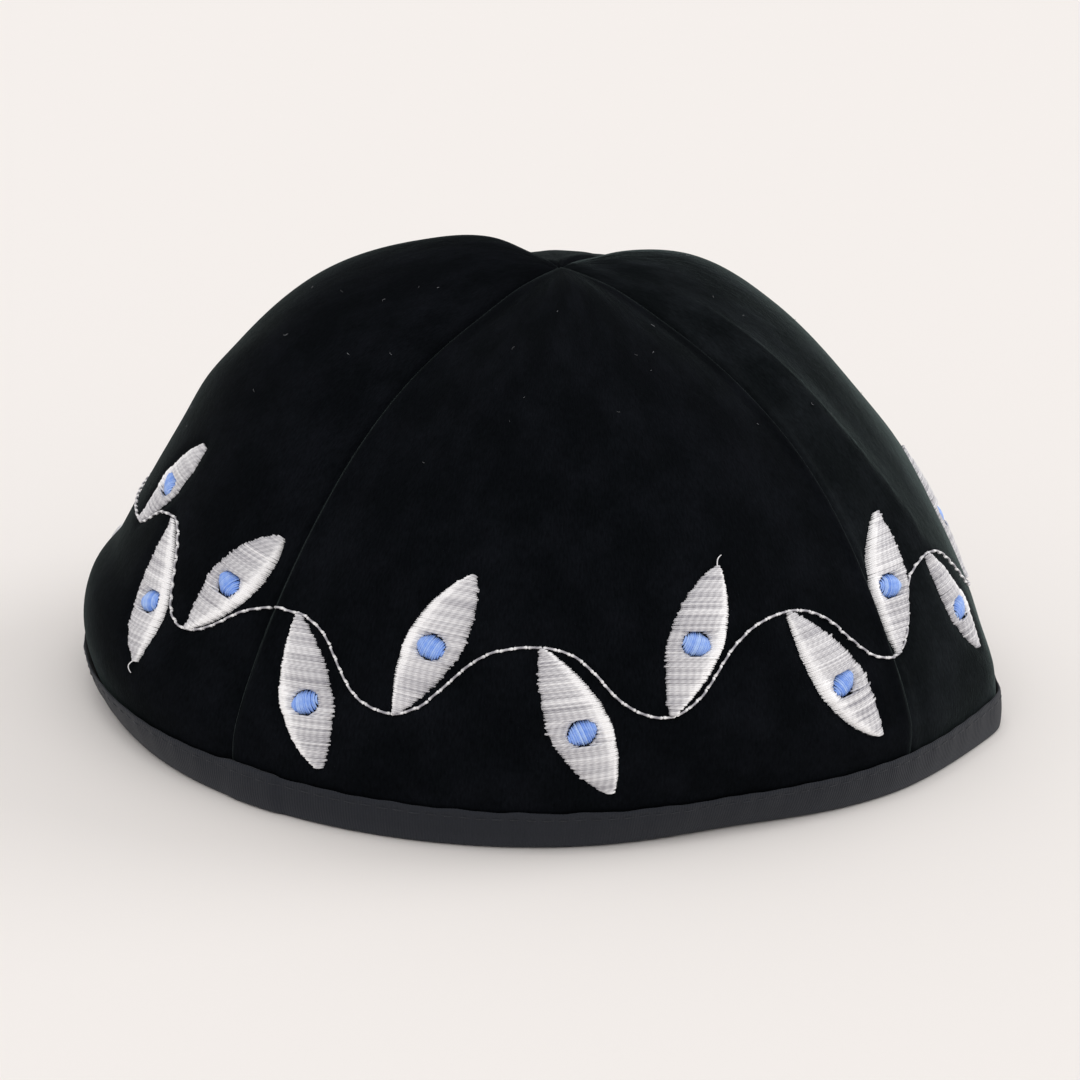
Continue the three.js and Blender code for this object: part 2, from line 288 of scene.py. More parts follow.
# Adds a node. An input is a value, or (node, output) for a link.
def addNode(tree, kind, settings=None, inputs=None):
    node = tree.nodes.new(kind)
    for name, value in (settings or {}).items():
        setattr(node, name, value)
    for name, value in (inputs or {}).items():
        if isinstance(value, tuple) and isinstance(value[0], bpy.types.Node):
            tree.links.new(value[0].outputs[value[1]], node.inputs[name])
        else:
            node.inputs[name].default_value = value
    return node


def startMaterial(name):
    material = bpy.data.materials.new(name)
    material.use_nodes = True
    material.node_tree.nodes.clear()
    return material, material.node_tree


def finishMaterial(tree, shader):
    addNode(tree, "ShaderNodeOutputMaterial", inputs={"Surface": (shader, "BSDF")})


# Mixes two colours. On this node the sockets are 0 factor, 6 and 7 the colours, 2 the result.
def mixColours(tree, factor, first, second, blend="MIX"):
    return addNode(tree, "ShaderNodeMix", {"data_type": "RGBA", "blend_type": blend}, {
        0: factor, 6: first, 7: second})


# pileSize is a tuft's width in millimetres, drawn coarser than real pile so that it shows.
velvet = {"sheenTint": "#b4cbc8", "pileSize": 0.45, "pressedPatch": 14.0, "sheenRoughness": 0.25}


# Cotton velvet, cut pile 1.2 mm deep: it drinks light face on and shows a soft pale bloom where
# it turns away, with cloudy patches where the pile has been pressed.
def velvetMaterial(name, pile, pressed, sheen):
    material, tree = startMaterial(name)
    place = addNode(tree, "ShaderNodeUVMap", {"uv_map": "cloth"})
    patch = addNode(tree, "ShaderNodeTexNoise", inputs={
        "Vector": (place, "UV"), "Scale": 1 / velvet["pressedPatch"], "Detail": 4.0, "Roughness": 0.6})
    patchRange = addNode(tree, "ShaderNodeMapRange", inputs={
        "Value": (patch, "Fac"), "From Min": 0.42, "From Max": 0.66, "To Min": 0.0, "To Max": 1.0})
    # Pile tufts lie downwards, so their marks are three times as long as wide.
    lay = addNode(tree, "ShaderNodeMapping", inputs={"Vector": (place, "UV"), "Scale": (1.0, 0.33, 1.0)})
    tufts = addNode(tree, "ShaderNodeTexNoise", inputs={
        "Vector": (lay, "Vector"), "Scale": 1 / velvet["pileSize"], "Detail": 3.0, "Roughness": 0.7})
    base = mixColours(tree, (patchRange, "Result"), colour(pile), colour(pressed))
    tuftShade = addNode(tree, "ShaderNodeMapRange", inputs={
        "Value": (tufts, "Fac"), "From Min": 0.3, "From Max": 0.7, "To Min": 0.65, "To Max": 1.35})
    shaded = addNode(tree, "ShaderNodeVectorMath", {"operation": "SCALE"}, {
        0: (base, 2), "Scale": (tuftShade, "Result")})
    height = addNode(tree, "ShaderNodeBump", inputs={
        "Height": (tufts, "Fac"), "Strength": 0.35, "Distance": 0.25 * mm})
    cloud = addNode(tree, "ShaderNodeBump", inputs={
        "Height": (patch, "Fac"), "Strength": 0.25, "Distance": 1.2 * mm, "Normal": (height, "Normal")})
    finishMaterial(tree, addNode(tree, "ShaderNodeBsdfPrincipled", inputs={
        "Base Color": (shaded, "Vector"), "Roughness": 0.92, "IOR": 1.5, "Specular IOR Level": 0.02,
        "Sheen Weight": sheen, "Sheen Roughness": velvet["sheenRoughness"],
        "Sheen Tint": colour(velvet["sheenTint"]), "Normal": (cloud, "Normal")}))
    return material


# A wave texture at this scale over a yarn's width in millimetres gives one band to a yarn.
waveScale = 0.314
backing = {"cloth": "#121215", "crown": "#29292f", "yarnSize": 0.5, "sheen": 0.05}


# The velvet's woven cotton back, seen inside the cap: matt, with a fine plain weave.
def backingMaterial():
    material, tree = startMaterial("woven cotton velvet back")
    place = addNode(tree, "ShaderNodeUVMap", {"uv_map": "cloth"})
    warp = addNode(tree, "ShaderNodeTexWave", {"bands_direction": "X"}, {
        "Vector": (place, "UV"), "Scale": waveScale / backing["yarnSize"],
        "Distortion": 0.4, "Detail": 1.0})
    weft = addNode(tree, "ShaderNodeTexWave", {"bands_direction": "Y"}, {
        "Vector": (place, "UV"), "Scale": waveScale / backing["yarnSize"],
        "Distortion": 0.4, "Detail": 1.0})
    weave = addNode(tree, "ShaderNodeMath", {"operation": "MULTIPLY"}, {
        0: (warp, "Fac"), 1: (weft, "Fac")})
    # Painted highlight and shade: the weave's raised crossings are mixed towards the paler crown colour,
    # and the gaps towards the darker cloth colour.
    base = mixColours(tree, (weave, "Value"), colour(backing["cloth"]), colour(backing["crown"]))
    height = addNode(tree, "ShaderNodeBump", inputs={
        "Height": (weave, "Value"), "Strength": 0.4, "Distance": 0.2 * mm})
    finishMaterial(tree, addNode(tree, "ShaderNodeBsdfPrincipled", inputs={
        "Base Color": (base, 2), "Roughness": 0.85, "Specular IOR Level": 0.2,
        "Sheen Weight": backing["sheen"], "Normal": (height, "Normal")}))
    return material


tape = {
    "thickness": 0.7, "gap": 0.3, "foldAt": 1.3, "top": 7.6, "insideTop": 6.6, "stitchAt": 6.3,
    "stations": 420, "pucker": 0.13, "lapFrom": -42.0, "lapTo": -34.0, "lapStep": 0.4,
    "length": 520, "colour": "#161920", "worn": "#282c35", "ribSize": 0.55, "sheen": 0.07,
}


# Cotton and rayon binding tape, woven with fine crosswise ribs: a dull charcoal with a slight
# bloom, a little paler where the folded edge has rubbed.
def tapeMaterial():
    material, tree = startMaterial("charcoal woven binding tape")
    place = addNode(tree, "ShaderNodeUVMap", {"uv_map": "cloth"})
    ribs = addNode(tree, "ShaderNodeTexWave", {"bands_direction": "X"}, {
        "Vector": (place, "UV"), "Scale": waveScale / tape["ribSize"], "Distortion": 0.6, "Detail": 2.0})
    yarn = addNode(tree, "ShaderNodeTexNoise", inputs={
        "Vector": (place, "UV"), "Scale": 2.2, "Detail": 3.0, "Roughness": 0.65})
    across = addNode(tree, "ShaderNodeSeparateXYZ", inputs={"Vector": (place, "UV")})
    # Across the tape, 0 mm is the folded edge below.
    rubbed = addNode(tree, "ShaderNodeMapRange", inputs={
        "Value": (across, "Y"), "From Min": 2.2, "From Max": 0.0, "To Min": 0.0, "To Max": 0.6})
    wear = addNode(tree, "ShaderNodeMath", {"operation": "MULTIPLY", "use_clamp": True}, {
        0: (rubbed, "Result"), 1: (yarn, "Fac")})
    faded = addNode(tree, "ShaderNodeMath", {"operation": "MULTIPLY_ADD", "use_clamp": True}, {
        0: (yarn, "Fac"), 1: 0.5, 2: (wear, "Value")})
    base = mixColours(tree, (faded, "Value"), colour(tape["colour"]), colour(tape["worn"]))
    grain = addNode(tree, "ShaderNodeMath", {"operation": "ADD"}, {0: (ribs, "Fac"), 1: (yarn, "Fac")})
    height = addNode(tree, "ShaderNodeBump", inputs={
        "Height": (grain, "Value"), "Strength": 0.4, "Distance": 0.15 * mm})
    finishMaterial(tree, addNode(tree, "ShaderNodeBsdfPrincipled", inputs={
        "Base Color": (base, 2), "Roughness": 0.8, "Specular IOR Level": 0.3,
        "Sheen Weight": tape["sheen"], "Sheen Roughness": 0.5, "Normal": (height, "Normal")}))
    return material


# Rayon embroidery thread, two ply: bright and silky, with a painted highlight that makes it paler on the
# twist's crowns, and each strand a slightly different shade.
def threadMaterial(name, dark, light, roughness=0.38):
    material, tree = startMaterial(name)
    place = addNode(tree, "ShaderNodeUVMap", {"uv_map": "cloth"})
    tone = addNode(tree, "ShaderNodeAttribute", {"attribute_name": "tone"})
    # u is millimetres along the thread and v once round it, so the slanted wave is the twist.
    slant = addNode(tree, "ShaderNodeMapping", inputs={
        "Vector": (place, "UV"), "Scale": (1.0, 1.4, 1.0)})
    twist = addNode(tree, "ShaderNodeTexWave", {"bands_direction": "DIAGONAL"}, {
        "Vector": (slant, "Vector"), "Scale": 0.5, "Distortion": 0.5})
    # Painted highlight: the twist's wave mixes the crowns towards the light colour.
    mixed = addNode(tree, "ShaderNodeMath", {"operation": "MULTIPLY_ADD", "use_clamp": True}, {
        0: (twist, "Fac"), 1: 0.22, 2: (tone, "Fac")})
    base = mixColours(tree, (mixed, "Value"), colour(dark), colour(light))
    height = addNode(tree, "ShaderNodeBump", inputs={
        "Height": (twist, "Fac"), "Strength": 0.3, "Distance": 0.08 * mm})
    finishMaterial(tree, addNode(tree, "ShaderNodeBsdfPrincipled", inputs={
        "Base Color": (base, 2), "Roughness": roughness, "Specular IOR Level": 0.5,
        "Sheen Weight": 0.15, "Sheen Roughness": 0.4, "Normal": (height, "Normal")}))
    return material


# The right panel gets a copy of the velvet with paler pile colours and stronger sheen: the paler pile is
# painted light, standing in for the light that falls on that side from the right.
blackVelvet = velvetMaterial("black cotton velvet", "#080a0d", "#0e1014", 0.14)
paintedSheenVelvet = velvetMaterial("black cotton velvet, paler copy with painted sheen", "#0e1113", "#181b1e", 0.42)
cottonBack = backingMaterial()
bindingTape = tapeMaterial()
silverThread = threadMaterial("silver rayon thread", "#918f97", "#fffeff")
blueThread = threadMaterial("blue rayon thread", "#6796ee", "#b0cdfd", 0.42)
charcoalThread = threadMaterial("charcoal polyester thread", "#14171d", "#22262e", 0.8)
print("materials made")


# Embroidered leaves take turns round the cap: one hangs down, the next stands up.
leafKinds = [{"direction": -1, "dotShare": 0.57}, {"direction": 1, "dotShare": 0.48}]

# rise is where a leaf starts above the rim, and lean how far its tip swings to the right. Two
# leaves that lie in creased cloth are drawn in and have a width of their own.
leafPlaces = [
    {"azimuth": -37, "rise": 36.5, "lean": 26, "length": 28.5},
    {"azimuth": -19, "rise": 23, "lean": 20, "length": 27.5},
    {"azimuth": 0, "rise": 37, "lean": 28, "length": 29},
    {"azimuth": 18, "rise": 24.5, "lean": 23, "length": 27.5},
    {"azimuth": 38, "rise": 39.5, "lean": 32, "length": 30.5},
    {"azimuth": 57.6, "rise": 25.5, "lean": 19, "length": 26.5},
    {"azimuth": 71, "rise": 39.5, "lean": 20, "length": 23, "width": 7.4},
    {"azimuth": 88, "rise": 25.5, "lean": 25, "length": 27.5},
    {"azimuth": 104, "rise": 38.5, "lean": 26, "length": 28},
    {"azimuth": 121, "rise": 25.5, "lean": 25, "length": 27.5},
    {"azimuth": 144.5, "rise": 38.5, "lean": 26, "length": 28},
    {"azimuth": 163, "rise": 25, "lean": 25, "length": 27.5},
    {"azimuth": 181.5, "rise": 38, "lean": 26, "length": 28},
    {"azimuth": 200, "rise": 25, "lean": 25, "length": 27.5},
    {"azimuth": 218.5, "rise": 38.5, "lean": 26, "length": 28},
    {"azimuth": 241.5, "rise": 26, "lean": 25, "length": 27},
    {"azimuth": 253, "rise": 39, "lean": 24, "length": 28},
    {"azimuth": 280.5, "rise": 38, "lean": 25, "length": 23, "width": 7.6},
    {"azimuth": 291.5, "rise": 44, "lean": 23, "length": 28},
    {"azimuth": 305.5, "rise": 27.5, "lean": 26, "length": 25},
]
leaf = {
    "width": 10.4, "fullness": 0.74, "widestLate": 1.1, "threadSpacing": 0.36, "threadRadius": 0.25,
    "steps": 11, "slant": 0.75, "sink": 0.35, "loft": 0.75, "arch": 0.62, "raisedEdge": 0.3,
    "roughEdge": 0.24, "evenEdge": 0.07, "pull": 0.45, "pullWidth": 1.3, "pullBelow": 0.69,
}
dot = {
    "diameter": 5.0, "hole": 2.3, "threadSpacing": 0.36, "threadRadius": 0.23, "steps": 9,
    "sink": 0.35, "loft": 0.7, "arch": 0.55,
}


# How far it is up the cloth from the rim to each level.
def climbsAt(azimuth, levels):
    panel, turned = panelAt(azimuth)
    up = capPoint(panel, np.full(len(levels), turned), levels, 0.0)
    return np.concatenate([[0], np.cumsum(np.linalg.norm(np.diff(up, axis=0), axis=1))])


embroideryLevels = np.linspace(0, 0.7, 400)
places = []
for number, place in enumerate(leafPlaces):
    kind = leafKinds[number % len(leafKinds)]
    place = {"width": leaf["width"], **place, **kind}
    place["panel"] = panelAt(place["azimuth"])[0]
    place["climbs"] = climbsAt(place["azimuth"], embroideryLevels)
    place["dotAt"] = place["length"] * place["dotShare"]
    places.append(place)


# From a leaf's own millimetres, along and across it, to azimuth and level on the cap.
def leafToCap(place, along, across):
    lean = math.radians(place["lean"])
    right = along * math.sin(lean) + across * place["direction"] * math.cos(lean)
    climb = place["rise"] + along * place["direction"] * math.cos(lean) - across * math.sin(lean)
    level = np.interp(climb, place["climbs"], embroideryLevels)
    radius = plainSection(place["azimuth"], level)[0]
    return place["azimuth"] + np.degrees(right / radius), level


def capToLeaf(place, azimuth, level):
    lean = math.radians(place["lean"])
    radius = plainSection(place["azimuth"], level)[0]
    right = np.radians(azimuth - place["azimuth"]) * radius
    climb = np.interp(level, embroideryLevels, place["climbs"]) - place["rise"]
    along = right * math.sin(lean) + climb * place["direction"] * math.cos(lean)
    across = right * place["direction"] * math.cos(lean) - climb * math.sin(lean)
    return along, across


def leafHalfWidth(place, along):
    share = np.clip(along / place["length"], 0, 1)
    rounding = np.sin(math.pi * share ** leaf["widestLate"]) ** leaf["fullness"]
    return place["width"] / 2 * rounding


# Dense stitching pulls the velvet in, so it dips beside each leaf.
def stitchPull(panel, azimuth, level):
    pull = np.zeros_like(azimuth)
    for place in places:
        if place["panel"] is panel:
            along, across = capToLeaf(place, azimuth, level)
            beside = np.abs(across) - leafHalfWidth(place, along)
            past = np.maximum(-along, along - place["length"])
            edge = np.maximum(beside, past)
            dip = bump(np.maximum(edge, 0), leaf["pullWidth"])
            pull = np.maximum(pull, dip * (level < leaf["pullBelow"]))
    return -leaf["pull"] * pull


def clothPoint(panel, azimuth, level, lift):
    detail = clothDetail(panel, azimuth, level) + stitchPull(panel, azimuth, level)
    return toFrame(capPoint(panel, azimuth, level, detail + lift))


def clothOut(panel, azimuth, level):
    way = capPoint(panel, azimuth, level, 1.0) - capPoint(panel, azimuth, level, 0.0)
    return way / np.linalg.norm(way, axis=-1, keepdims=True)


panelMesh = {
    "columns": 112, "rows": 150, "top": 0.9993, "seamGap": 0.06, "thinBelow": 0.08,
    "allowance": 7.0, "allowanceThickness": 0.7, "quarterRim": 125,
}


def panelPiece(panel):
    columns, rows = panelMesh["columns"], panelMesh["rows"]
    share = np.linspace(0, 1, columns)
    share = share - 0.12 * np.sin(2 * math.pi * share)  # closer together at the seams
    lowest = levelAtHeight(tape["foldAt"] + tape["gap"])
    level = np.linspace(lowest, panelMesh["top"], rows)[:, None] * np.ones(columns)
    azimuth = panel["from"] + (panel["to"] - panel["from"]) * share[None, :] * np.ones((rows, 1))
    seamGap = np.degrees(panelMesh["seamGap"] / np.maximum(plainSection(azimuth, level)[0], 0.5))
    azimuth = np.clip(azimuth, panel["from"] + seamGap, panel["to"] - seamGap)
    outer = clothPoint(panel, azimuth, level, 0.0)
    radius = plainSection(azimuth, level)[0]
    fromSeam = np.radians(np.minimum(azimuth - panel["from"], panel["to"] - azimuth)) * radius
    # Inside, the seam allowances lie open on both sides of each seam.
    flap = 1 / (1 + np.exp((fromSeam - panelMesh["allowance"]) * 4)) * np.clip(radius / 20, 0, 1)
    inner = clothPoint(panel, azimuth, level, -cap["wall"] - panelMesh["allowanceThickness"] * flap)
    # Near the rim the inner face stays level with the outer one, clear of the tape's foot.
    lifted = np.maximum(inner[..., 2], outer[..., 2] - 0.3 * mm)
    inner[..., 2] = np.where(level < panelMesh["thinBelow"], lifted, inner[..., 2])
    # The pattern runs in millimetres, about 125 to a quarter of the rim.
    acrossMm = (azimuth - (panel["from"] + panel["to"]) / 2) / 90 * panelMesh["quarterRim"]
    climb = np.zeros_like(level)
    climb[1:] = np.cumsum(np.linalg.norm(np.diff(outer, axis=0), axis=-1), axis=0) / mm
    uvGrid = np.stack([acrossMm, climb], axis=-1)
    faces, where = gridFaces(rows, columns)
    uv = uvGrid[where[..., 0], where[..., 1]]
    count = rows * columns
    grid = np.arange(count).reshape(rows, columns)
    walls = []
    for line, flip in ((grid[0], False), (grid[-1], True), (grid[:, 0], True), (grid[:, -1], False)):
        a, b = line[:-1], line[1:]
        quad = np.stack([a + count, b + count, b, a], axis=-1)
        walls.append(quad[:, ::-1] if flip else quad)
    walls = np.concatenate(walls)
    allFaces = np.concatenate([faces, faces[:, ::-1] + count, walls])
    allUv = np.concatenate([uv, uv[:, ::-1], uvGrid.reshape(-1, 2)[walls % count]])
    finish = np.concatenate([np.zeros(len(faces)), np.ones(len(faces) + len(walls))])
    name = "panel_" + panel["name"]
    points = np.concatenate([outer.reshape(-1, 3), inner.reshape(-1, 3)])
    cloth = [paintedSheenVelvet if panel["napTurned"] else blackVelvet, cottonBack]
    return makePiece("velvet_" + name, points, allFaces, allUv, cloth, [name], finish)


for panel in panels:
    panelPiece(panel)
print("velvet panels made")


# Cuts every corner of a closed outline, once a round.
def smoothOutline(points, rounds):
    for _ in range(rounds):
        after = np.roll(points, -1, axis=0)
        corners = [0.75 * points + 0.25 * after, 0.25 * points + 0.75 * after]
        points = np.stack(corners, axis=1).reshape(-1, 2)
    return points


# The tape's end laps over its start, so it is thicker from lapFrom to lapTo.
def tapeLap(azimuth):
    start = 1 / (1 + np.exp(-(azimuth - tape["lapFrom"]) * 6))
    end = 1 / (1 + np.exp((azimuth - tape["lapTo"]) * 6))
    return start * end


# Puckers in the tape where it was eased round the curve.
def tapePucker(azimuth):
    angle = np.radians(azimuth)
    gathers = np.sin(37 * angle + 1.5 * np.sin(5 * angle)) * (0.6 + 0.4 * np.sin(3 * angle + 1))
    return gathers + 0.5 * np.sin(90 * angle)


def rimPoints(azimuths, out, z):
    points = np.zeros(azimuths.shape + (3,))
    for i, azimuth in enumerate(azimuths[0]):
        panel, turned = panelAt(azimuth)
        level = levelAtHeight(np.maximum(z[:, i], 0.0))
        points[:, i] = capPoint(panel, np.full(len(level), turned), level, 0.0)
    points[..., 0] += out * np.sin(np.radians(azimuths))
    points[..., 1] -= out * np.cos(np.radians(azimuths))
    points[..., 2] = z
    return toFrame(points)


def tapePiece():
    outside = tape["gap"] + tape["thickness"]
    inside = -cap["wall"] - tape["gap"]
    far = inside - tape["thickness"]
    top = tape["top"]
    section = np.array([
        (far + 0.5, 0), (outside - 0.35, 0), (outside + 0.02, 0.5), (outside + 0.16, 2.4),
        (outside + 0.1, 4.6), (outside - 0.08, tape["stitchAt"]), (outside - 0.02, top - 0.5),
        (outside - 0.3, top + 0.1),
        (tape["gap"] + 0.05, top - 0.1), (tape["gap"] - 0.05, 4.2), (tape["gap"], tape["foldAt"]),
        (inside, tape["foldAt"]), (inside, tape["insideTop"] - 0.4), (inside - 0.3, tape["insideTop"]),
        (far, tape["insideTop"] - 0.5), (far, 2.4), (far + 0.05, 0.4)])
    section = smoothOutline(section, 2)
    azimuth = np.linspace(-180, 180, tape["stations"] + 1)[:-1][None, :] * np.ones((len(section), 1))
    out = section[:, :1] * np.ones_like(azimuth)
    z = section[:, 1:] * np.ones_like(azimuth)
    # 1 on the leg outside the cloth and 0 on the leg inside it.
    facing = 1 / (1 + np.exp(-(out - 0.6) * 12))
    lap = tape["lapStep"] * tapeLap(azimuth)
    out = out + facing * (tape["pucker"] * tapePucker(azimuth) * np.clip(z / 5, 0, 1) + lap)
    z = z + np.clip((z - 6) / 1.6, 0, 1) * (0.12 * tapePucker(azimuth + 3) + lap)
    points = rimPoints(azimuth, out, z)
    faces, where = gridFaces(len(section), tape["stations"], True, True)
    around = where[..., 1] / tape["stations"] * tape["length"]
    step = np.linalg.norm(np.roll(section, -1, axis=0) - section, axis=1)
    runs = np.concatenate([[0], np.cumsum(step)])
    footCorner = 8  # the outside leg's foot, where the pattern starts, after the smoothing
    uv = np.stack([around, runs[where[..., 0]] - runs[footCorner]], axis=-1)
    return makePiece("binding_tape", points, faces, uv, [bindingTape], ["rim_binding"])


tapePiece()


tapeStitches = {"length": 2.5, "gap": 0.5, "radius": 0.13, "steps": 7, "rowRadius": 82}


# One row of lockstitches holds the folded tape near its upper edge.
def tapeStitchPiece():
    pitch = np.degrees((tapeStitches["length"] + tapeStitches["gap"]) / tapeStitches["rowRadius"])
    count = int(360 / pitch)
    starts = np.arange(count)[:, None] * 360 / count - 180
    run = np.linspace(0, 1, tapeStitches["steps"])[None, :]
    azimuth = starts + run * np.degrees(tapeStitches["length"] / tapeStitches["rowRadius"])
    out = tape["gap"] + tape["thickness"] - 0.14 + 0.14 * np.sin(math.pi * run) + 0 * azimuth
    out = out + tape["lapStep"] * tapeLap(azimuth) + tape["pucker"] * tapePucker(azimuth)
    z = np.full_like(azimuth, tape["stitchAt"])
    flatAzimuth = azimuth.reshape(1, -1)
    paths = rimPoints(flatAzimuth, out.reshape(1, -1), z.reshape(1, -1)).reshape(azimuth.shape + (3,))
    way = np.stack([np.sin(np.radians(azimuth)), -np.cos(np.radians(azimuth)), 0 * azimuth], axis=-1)
    radius = tapeStitches["radius"] * mm * (0.35 + 0.65 * np.sin(math.pi * run) ** 0.5) + 0 * azimuth
    points, faces, uv = threadTubes(paths, way, radius)
    tones = np.repeat(random.uniform(0.1, 0.7, count), tapeStitches["steps"] * tubeSides)
    makePiece("binding_stitches", points, faces, uv, [charcoalThread],
              ["rim_binding"], None, tones)


tapeStitchPiece()
print("rim tape made")


# Satin stitch: threads laid side by side across the leaf, each arching over from edge to edge.
# The ones that would cross the dot's hole stop at its edge.
def satinThreads(place, number):
    slope = place["direction"] * math.tan(math.radians(place["lean"]) * leaf["slant"])
    hole = dot["hole"]
    brightSide = (-1 if number % 4 < 2 else 1) * place["direction"]
    spans = []
    for start in np.arange(0.5, place["length"] - 0.3, leaf["threadSpacing"]):
        middle = start + random.uniform(-0.06, 0.06)
        ends = []
        for side in (-1, 1):
            # A slanted thread ends where it meets the leaf's edge, which this closes in on.
            reach = 0.0
            for _ in range(8):
                reach = 0.5 * reach + 0.5 * float(leafHalfWidth(place, middle + side * reach * slope))
            if side == brightSide:
                jag = random.normal(0, leaf["evenEdge"])
            else:
                jag = abs(random.normal(0, leaf["roughEdge"]))
            ends.append(side * max(reach + jag, 0.2))
        # Where this slanted thread meets the round hole.
        a = 1 + slope ** 2
        b = 2 * slope * (middle - place["dotAt"])
        c = (middle - place["dotAt"]) ** 2 - hole ** 2
        under = b * b - 4 * a * c
        if under > 0:
            root = math.sqrt(under)
            near, far = (-b - root) / 2 / a, (-b + root) / 2 / a
            spans.append((middle, ends[0], near - random.uniform(-0.2, 0.3)))
            spans.append((middle, far + random.uniform(-0.2, 0.3), ends[1]))
        else:
            spans.append((middle, ends[0], ends[1]))
    spans = np.array([span for span in spans if span[2] - span[1] > 0.5])
    t = np.linspace(0, 1, leaf["steps"])[None, :]
    across = spans[:, 1:2] + (spans[:, 2:3] - spans[:, 1:2]) * t
    along = spans[:, :1] + across * slope
    size = np.clip((spans[:, 2:3] - spans[:, 1:2]) / leaf["width"], 0.25, 1)
    lift = -leaf["sink"] + (leaf["loft"] + leaf["arch"] * size) * np.sin(math.pi * t) ** 0.45
    edgeAt = brightSide * leafHalfWidth(place, along) * 0.8
    lift = lift + leaf["raisedEdge"] * bump(across - edgeAt, 1.0)
    lift = lift + random.uniform(-0.05, 0.07, (len(spans), 1))
    azimuth, level = leafToCap(place, along, across)
    paths = clothPoint(place["panel"], azimuth, level, lift)
    outs = clothOut(place["panel"], azimuth, level)
    radius = leaf["threadRadius"] * mm * (0.55 + 0.45 * np.sin(math.pi * t) ** 0.4) + 0 * across
    points, faces, uv = threadTubes(paths, outs, radius, 0.85)
    # Painted highlight and shade: the tone rises sharply along the raised edge, so it shines, and falls
    # a little towards the far edge, which sinks into painted shade.
    shareOut = brightSide * across / np.maximum(leafHalfWidth(place, along), 0.6)
    tones = random.normal(0.36, 0.12, (len(spans), 1))
    tones = tones + 0.8 * bump(shareOut - 0.9, 0.3) + 0.1 * shareOut
    return points.reshape(-1, 3), faces, uv, np.repeat(np.clip(tones, 0, 1).ravel(), tubeSides)


# A loose end curls off the tip of some leaves.
def strayThread(place):
    t = np.linspace(0, 1, leaf["steps"])[None, :]
    along = place["length"] - 0.8 + 2.6 * t
    across = 0.9 * np.sin(2.6 * t) * -place["direction"] + 0.3 * t
    azimuth, level = leafToCap(place, along, across)
    paths = clothPoint(place["panel"], azimuth, level, 0.35 + 0.5 * np.sin(math.pi * t))
    outs = clothOut(place["panel"], azimuth, level)
    points, faces, uv = threadTubes(paths, outs, 0.13 * mm * (1 - 0.4 * t))
    return points.reshape(-1, 3), faces, uv, np.full(leaf["steps"] * tubeSides, 0.7)


# A padding of crossed stitches lies under the satin, so no velvet shows between the threads.
def leafPadding(place):
    rows, half = 40, 5
    along = np.linspace(0.6, place["length"] - 0.6, rows)[:, None]
    clear = dot["hole"] + 0.15
    hole = np.sqrt(np.maximum(clear ** 2 - (along - place["dotAt"]) ** 2, 0))
    width = np.maximum(leafHalfWidth(place, along) - 0.35, hole + 0.1)
    parts = []
    for side in (-1, 1):
        share = np.linspace(0, 1, half)[None, :]
        across = hole + (width - hole) * share
        lift = -0.3 + 0.75 * np.cos(share * math.pi / 2) ** 0.5 - 0.6 * (hole > 0) * (share == 0)
        azimuth, level = leafToCap(place, along + 0 * across, side * across)
        points = clothPoint(place["panel"], azimuth, level, lift + 0 * across)
        faces, where = gridFaces(rows, half)
        uv = np.stack([where[..., 1] * 1.0, where[..., 0] / 6], axis=-1)
        if side < 0:
            faces, uv = faces[:, ::-1], uv[:, ::-1]
        parts.append((points.reshape(-1, 3), faces, uv, np.full(rows * half, 0.25)))
    return parts


def joinParts(parts):
    offset = 0
    points, faces, uvs, tones = [], [], [], []
    for partPoints, partFaces, partUv, partTones in parts:
        points.append(partPoints)
        faces.append(partFaces + offset)
        uvs.append(partUv)
        tones.append(partTones)
        offset += len(partPoints)
    return np.concatenate(points), np.concatenate(faces), np.concatenate(uvs), np.concatenate(tones)


def dotThreads(place):
    size = dot["diameter"] / 2
    rowAt = np.arange(-size + 0.2, size - 0.1, dot["threadSpacing"])
    rowAt = rowAt + random.uniform(-0.04, 0.04, len(rowAt))
    half = np.sqrt(np.maximum(size ** 2 - rowAt ** 2, 0.3)) ** 0.9
    half = half * random.uniform(0.93, 1.08, len(rowAt))
    t = np.linspace(-1, 1, dot["steps"])[None, :]
    # Blue threads run across the silver ones, so along the leaf.
    along = place["dotAt"] + half[:, None] * t
    across = rowAt[:, None] + 0.08 * t
    rounding = 1 - np.abs(t) ** 2.6
    lift = -dot["sink"] + (dot["loft"] + dot["arch"] * half[:, None] / size) * rounding
    azimuth, level = leafToCap(place, along, across)
    paths = clothPoint(place["panel"], azimuth, level, lift)
    outs = clothOut(place["panel"], azimuth, level)
    radius = dot["threadRadius"] * mm * (1 - 0.4 * np.abs(t) ** 3) + 0 * along
    points, faces, uv = threadTubes(paths, outs, radius, 0.9)
    tones = np.clip(random.normal(0.42, 0.2, len(rowAt)), 0, 1)
    return points.reshape(-1, 3), faces, uv, np.repeat(tones, dot["steps"] * tubeSides)


for number, place in enumerate(places):
    label = f"{number + 1:02d}"
    parts = [satinThreads(place, number)] + leafPadding(place)
    if number % 5 == 3:
        parts.append(strayThread(place))
    points, faces, uvs, tones = joinParts(parts)
    makePiece("leaf_stitches_" + label, points, faces, uvs, [silverThread],
              ["leaf_" + label], None, tones)
    points, faces, uvs, tones = dotThreads(place)
    makePiece("dot_stitches_" + label, points, faces, uvs, [blueThread],
              ["dot_" + label], None, tones)
print("leaves embroidered")


# The wavy line: a running stitch from crest to trough, stopping just short of each seam.
vine = {
    "pitch": 2.5, "gap": 0.16, "radius": 0.2, "bead": 0.4, "steps": 11, "lift": 0.36, "seamStop": 0.5,
    "riseSkew": 0.7, "fallSkew": 0.97, "steeper": 0.055,
}


